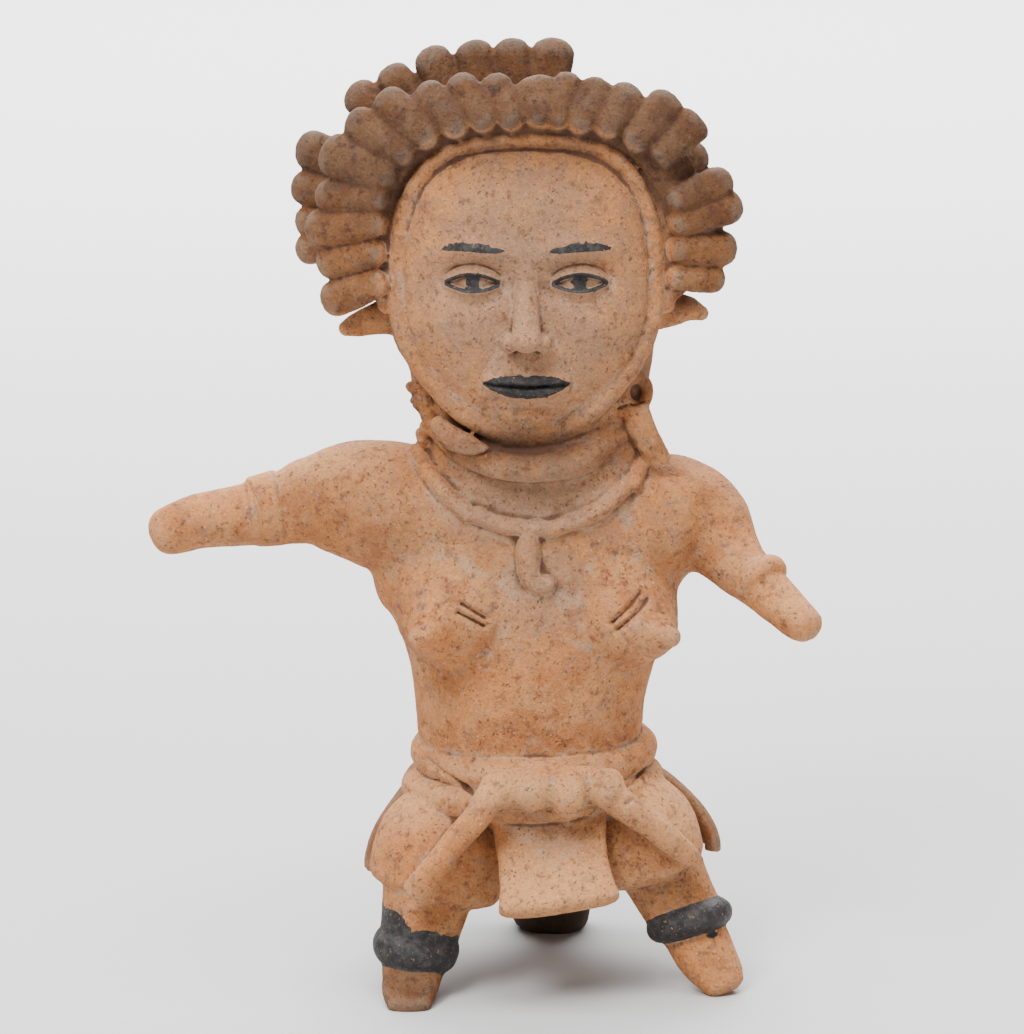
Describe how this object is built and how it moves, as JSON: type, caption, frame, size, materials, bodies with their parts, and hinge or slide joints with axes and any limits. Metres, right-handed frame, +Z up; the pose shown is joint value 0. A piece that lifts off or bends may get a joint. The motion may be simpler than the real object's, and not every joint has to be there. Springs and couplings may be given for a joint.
{
  "type": "standing female figure",
  "caption": "Fired-clay standing female figure with a petalled headdress, outstretched arms, knotted belt and apron, on splayed feet and a rear support.",
  "frame": {"origin": "on the ground, under the middle of the figure's bounding box", "axes": "+Z up; the figure looks towards -Y; +X is at the figure's own left hand"},
  "size_m": [0.2812, 0.1346, 0.4],
  "materials": {
    "fired_clay": "fired clay, matt, orange to tan, with worn black paint on the ankle bands, brows, eyes and lips"
  },
  "bodies": {
    "root": {"standing_female_figure": "fired_clay"}
  },
  "joints": []
}
